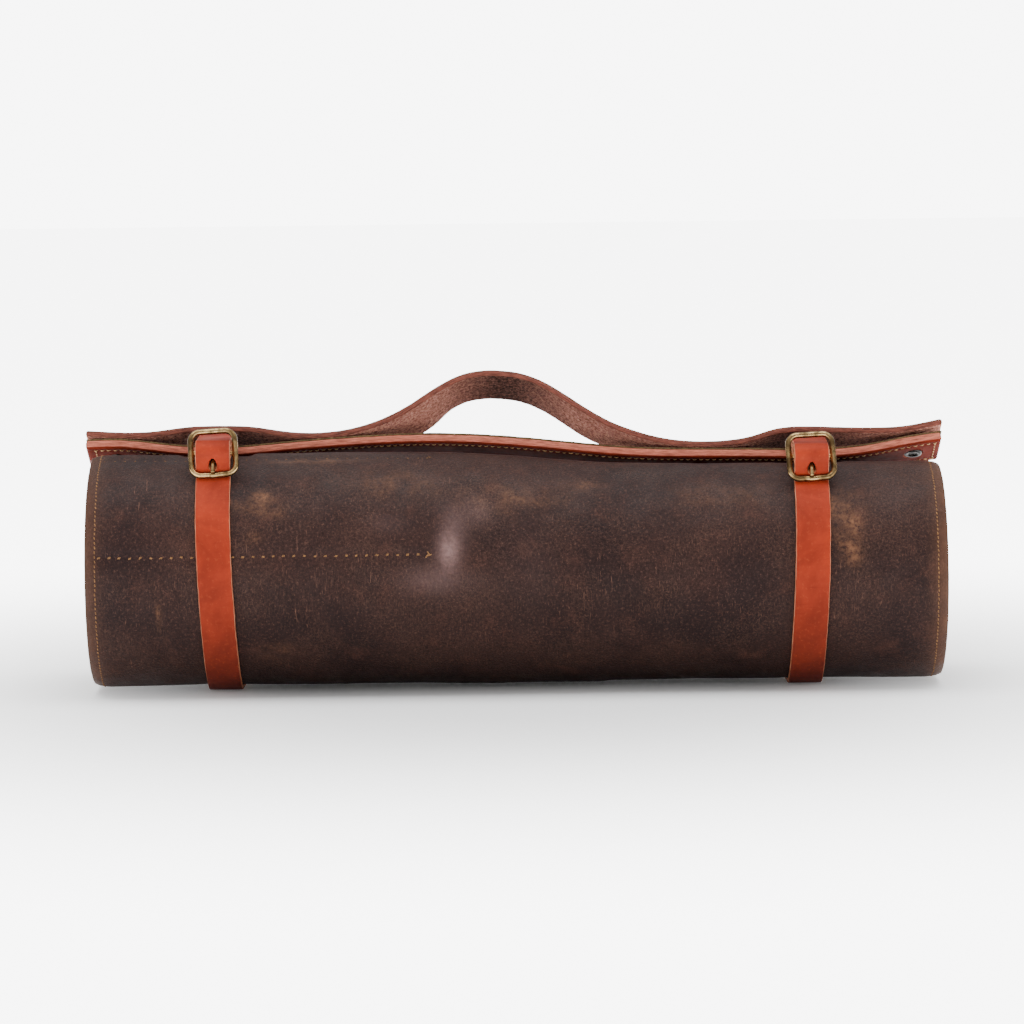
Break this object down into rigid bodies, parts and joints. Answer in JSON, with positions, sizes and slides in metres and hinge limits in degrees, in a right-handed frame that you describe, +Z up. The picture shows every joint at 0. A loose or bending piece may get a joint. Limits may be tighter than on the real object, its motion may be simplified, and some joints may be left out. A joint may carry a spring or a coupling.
{
  "type": "roll-up pencil and brush case",
  "caption": "Leather roll case wound up and held by two buckled straps that pass through a riveted carrier with a raised hand grip.",
  "frame": {"origin": "middle of the roll's length and depth, on the floor it lies on, which is also the bounding box's bottom centre", "axes": "+X along the roll, to the right seen from the buckles; -Y towards the side with the buckles; +Z up"},
  "size_m": [0.406, 0.114, 0.1476],
  "materials": {
    "dark_leather": "waxed, worn",
    "pocket_leather": "matt flesh side",
    "russet_leather": "smooth, satin",
    "lining_suede": "rough suede",
    "handle_leather": "grain side out, raw flesh side inside",
    "strap_leather": "satin",
    "buckle_brass": "antiqued",
    "rivet_metal": "blackened"
  },
  "bodies": {
    "roll": {"outer_sheet": "dark_leather", "pocket_panel": "pocket_leather", "inner_flap": "pocket_leather"},
    "carrier": {"carrier_base": "russet_leather", "carrier_lining": "lining_suede", "handle_strap": "handle_leather", "carrier_rivet_1": "rivet_metal", "carrier_rivet_2": "rivet_metal", "carrier_rivet_3": "rivet_metal", "carrier_rivet_4": "rivet_metal", "carrier_rivet_cap_1": "rivet_metal", "carrier_rivet_cap_2": "rivet_metal", "carrier_rivet_cap_3": "rivet_metal", "carrier_rivet_cap_4": "rivet_metal"},
    "strap_left": {"strap_left": "strap_leather"},
    "strap_right": {"strap_right": "strap_leather"},
    "buckle_left": {"buckle_frame_left": "buckle_brass"},
    "buckle_right": {"buckle_frame_right": "buckle_brass"},
    "prong_left": {"buckle_prong_left": "buckle_brass"},
    "prong_right": {"buckle_prong_right": "buckle_brass"}
  },
  "joints": [
    {"name": "carrier_shift", "type": "hinge", "parent": "roll", "child": "carrier", "pos_m": [0, 0, 0.0558], "axis": [1, 0, 0], "range_deg": [-5, 5]},
    {"name": "strap_left_slide", "type": "slide", "parent": "roll", "child": "strap_left", "axis": [1, 0, 0], "range_m": [-0.003, 0.003]},
    {"name": "strap_right_slide", "type": "slide", "parent": "roll", "child": "strap_right", "axis": [1, 0, 0], "range_m": [-0.003, 0.003]},
    {"name": "buckle_left_tilt", "type": "hinge", "parent": "strap_left", "child": "buckle_left", "pos_m": [-0.141, -0.02956, 0.11381], "axis": [-1, 0, 0], "range_deg": [0, 6]},
    {"name": "buckle_right_tilt", "type": "hinge", "parent": "strap_right", "child": "buckle_right", "pos_m": [0.138, -0.02697, 0.10875], "axis": [-1, 0, 0], "range_deg": [0, 6]},
    {"name": "prong_left_lift", "type": "hinge", "parent": "buckle_left", "child": "prong_left", "pos_m": [-0.141, -0.02956, 0.11381], "axis": [-1, 0, 0], "range_deg": [0, 8]},
    {"name": "prong_right_lift", "type": "hinge", "parent": "buckle_right", "child": "prong_right", "pos_m": [0.138, -0.02697, 0.10875], "axis": [-1, 0, 0], "range_deg": [0, 8]}
  ]
}
